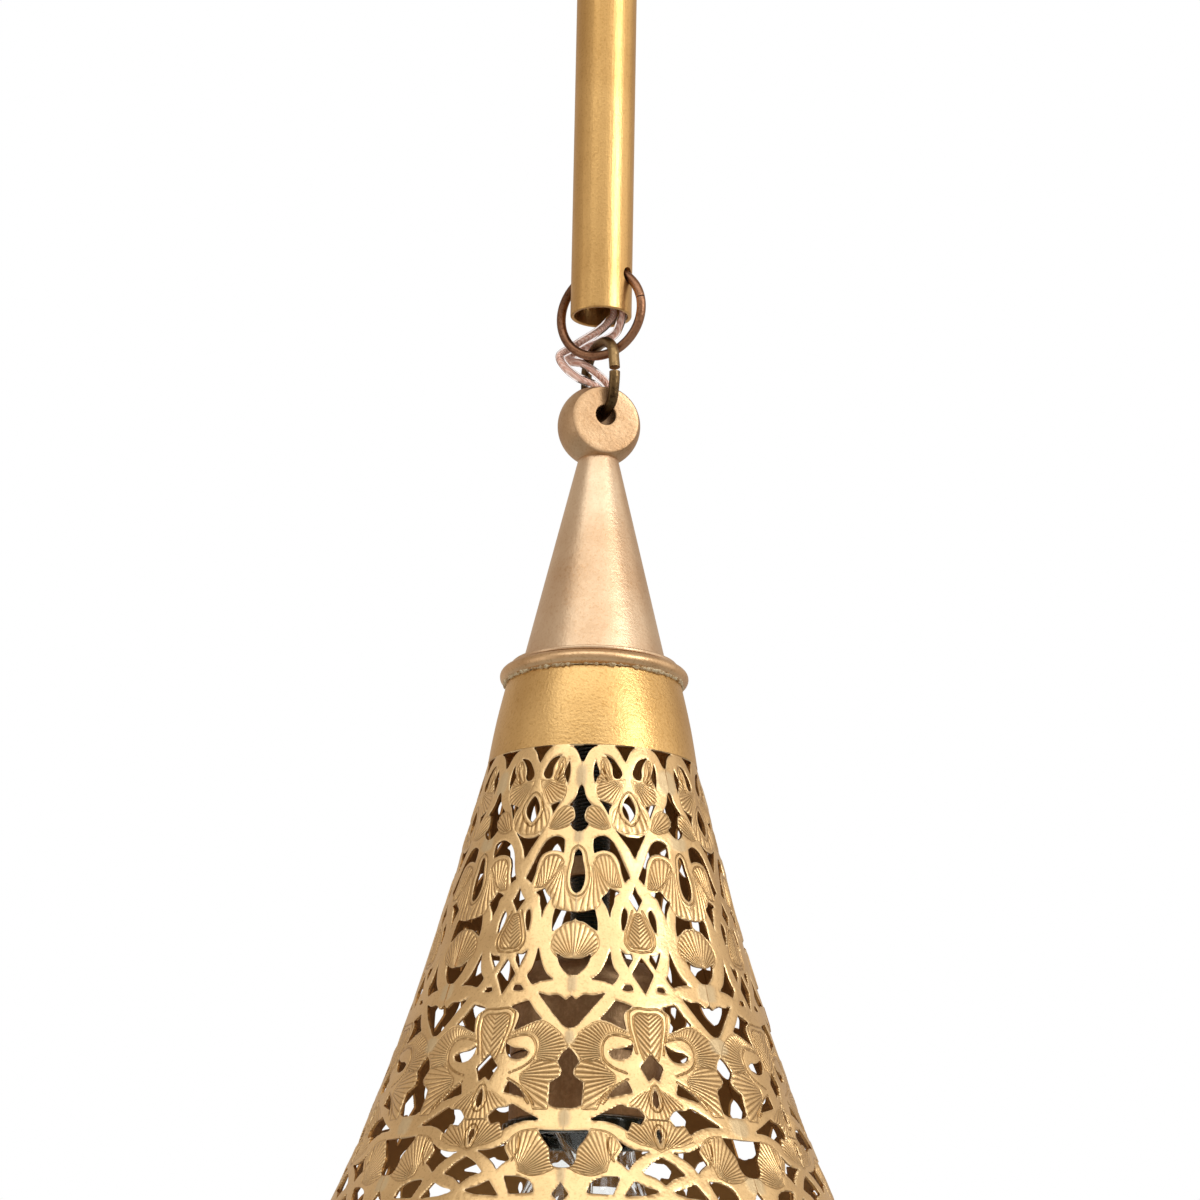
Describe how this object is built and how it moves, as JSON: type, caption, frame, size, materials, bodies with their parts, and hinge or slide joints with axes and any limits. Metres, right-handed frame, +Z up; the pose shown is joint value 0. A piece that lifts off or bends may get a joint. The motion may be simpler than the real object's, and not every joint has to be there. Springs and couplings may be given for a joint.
{
  "type": "pierced brass pendant lamp",
  "caption": "Pierced and chased brass trumpet shade on a ball, link, ring and tube hanger from a ceiling canopy, with a screw lampholder and clear filament bulb inside.",
  "frame": {"origin": "centre of the ceiling bracket's top face, where the lamp meets the ceiling", "axes": "+Z up out of the lamp into the ceiling, -Y towards the picture's camera, +X to its right"},
  "size_m": [0.193, 0.193, 0.5988],
  "materials": {
    "satin_brass": "satin brushed yellow brass, fine scratches, pale solder along the seams",
    "champagne_brass": "pale champagne brass, satin, faintly mottled",
    "bright_brass": "plain rolled brass",
    "copper_wire": "brown copper wire, dull polish",
    "antique_link": "dark antique brass wire, half polished",
    "zinc_steel": "zinc plated steel",
    "black_rod": "glossy black lacquered steel thread",
    "holder_copper": "dark copper brown, spun, satin",
    "holder_black": "glossy black, faint olive",
    "ceramic": "white glazed ceramic",
    "white_plastic": "white moulded plastic",
    "clear_flex": "clear PVC over pinkish stranded copper",
    "cap_nickel": "nickel plated cap",
    "clear_glass": "clear blown glass",
    "filament": "yellow phosphor coated filaments on a clear glass stem"
  },
  "bodies": {
    "ceiling": {"ceiling_bracket": "zinc_steel", "canopy": "satin_brass", "canopy_screw_1": "zinc_steel", "canopy_screw_2": "zinc_steel", "canopy_ball_nut_1": "satin_brass", "canopy_ball_nut_2": "satin_brass", "terminal_block": "white_plastic", "cord_grip": "white_plastic", "canopy_loop": "satin_brass", "loop_lock_nut": "zinc_steel"},
    "upper_ring_body": {"upper_ring": "copper_wire", "flex_upper_1": "clear_flex"},
    "tube_body": {"hanging_tube": "satin_brass", "flex_upper_2": "clear_flex", "flex_in_tube": "clear_flex"},
    "lower_ring_body": {"lower_ring": "copper_wire", "flex_lower_a1": "clear_flex", "flex_lower_b1": "clear_flex"},
    "link_body": {"ball_link": "antique_link", "flex_lower_a2": "clear_flex", "flex_lower_b2": "clear_flex"},
    "shade_body": {"finial_ball": "champagne_brass", "finial_stud": "zinc_steel", "finial_nut": "zinc_steel", "spire_cone": "champagne_brass", "cord_bush": "white_plastic", "bead_ring": "satin_brass", "bridge_plate": "satin_brass", "rod_nut_upper": "zinc_steel", "rod_nut_lower": "zinc_steel", "neck_collar": "satin_brass", "shade_gore_1": "satin_brass", "shade_gore_2": "satin_brass", "shade_gore_3": "satin_brass", "shade_gore_4": "satin_brass", "shade_gore_5": "satin_brass", "shade_gore_6": "satin_brass", "shade_gore_7": "satin_brass", "shade_gore_8": "satin_brass", "shade_rim": "satin_brass", "threaded_rod": "black_rod", "check_nut": "holder_copper", "holder_cap": "holder_copper", "holder_shell": "holder_copper", "holder_skirt": "holder_copper", "holder_rim": "holder_black", "holder_insulator": "ceramic", "holder_screw_shell": "bright_brass", "holder_contact": "bright_brass", "flex_lower_a3": "clear_flex", "flex_lower_b3": "clear_flex", "flex_in_rod": "clear_flex"},
    "bulb_body": {"bulb_base": "cap_nickel", "bulb_glass": "clear_glass", "bulb_filament_cage": "filament"}
  },
  "joints": [
    {"name": "upper_ring_swing", "type": "hinge", "parent": "ceiling", "child": "upper_ring_body", "pos_m": [0, 0, -0.0464], "axis": [0.4695, 0.8829, 0], "range_deg": [-30, 30], "deforming": ["flex_upper_1"]},
    {"name": "tube_swing", "type": "hinge", "parent": "upper_ring_body", "child": "tube_body", "pos_m": [0, 0, -0.06401], "axis": [0.8829, -0.4695, 0], "range_deg": [-30, 30], "deforming": ["flex_upper_2"]},
    {"name": "lower_ring_swing", "type": "hinge", "parent": "tube_body", "child": "lower_ring_body", "pos_m": [0, 0, -0.29341], "axis": [0.8829, -0.4695, 0], "range_deg": [-45, 45], "deforming": ["flex_lower_a1", "flex_lower_b1"]},
    {"name": "link_swing", "type": "hinge", "parent": "lower_ring_body", "child": "link_body", "pos_m": [0, 0, -0.31432], "axis": [0.8829, -0.4695, 0], "range_deg": [-35, 35], "deforming": ["flex_lower_a2", "flex_lower_b2"]},
    {"name": "shade_swing", "type": "hinge", "parent": "link_body", "child": "shade_body", "pos_m": [0, 0, -0.33162], "axis": [-0.2924, 0.9563, 0], "range_deg": [-25, 25], "deforming": ["flex_lower_a3", "flex_lower_b3"]},
    {"name": "bulb_turn", "type": "hinge", "parent": "shade_body", "child": "bulb_body", "pos_m": [0, 0, -0.5], "axis": [0, 0, -1], "range_deg": [0, 900]}
  ]
}
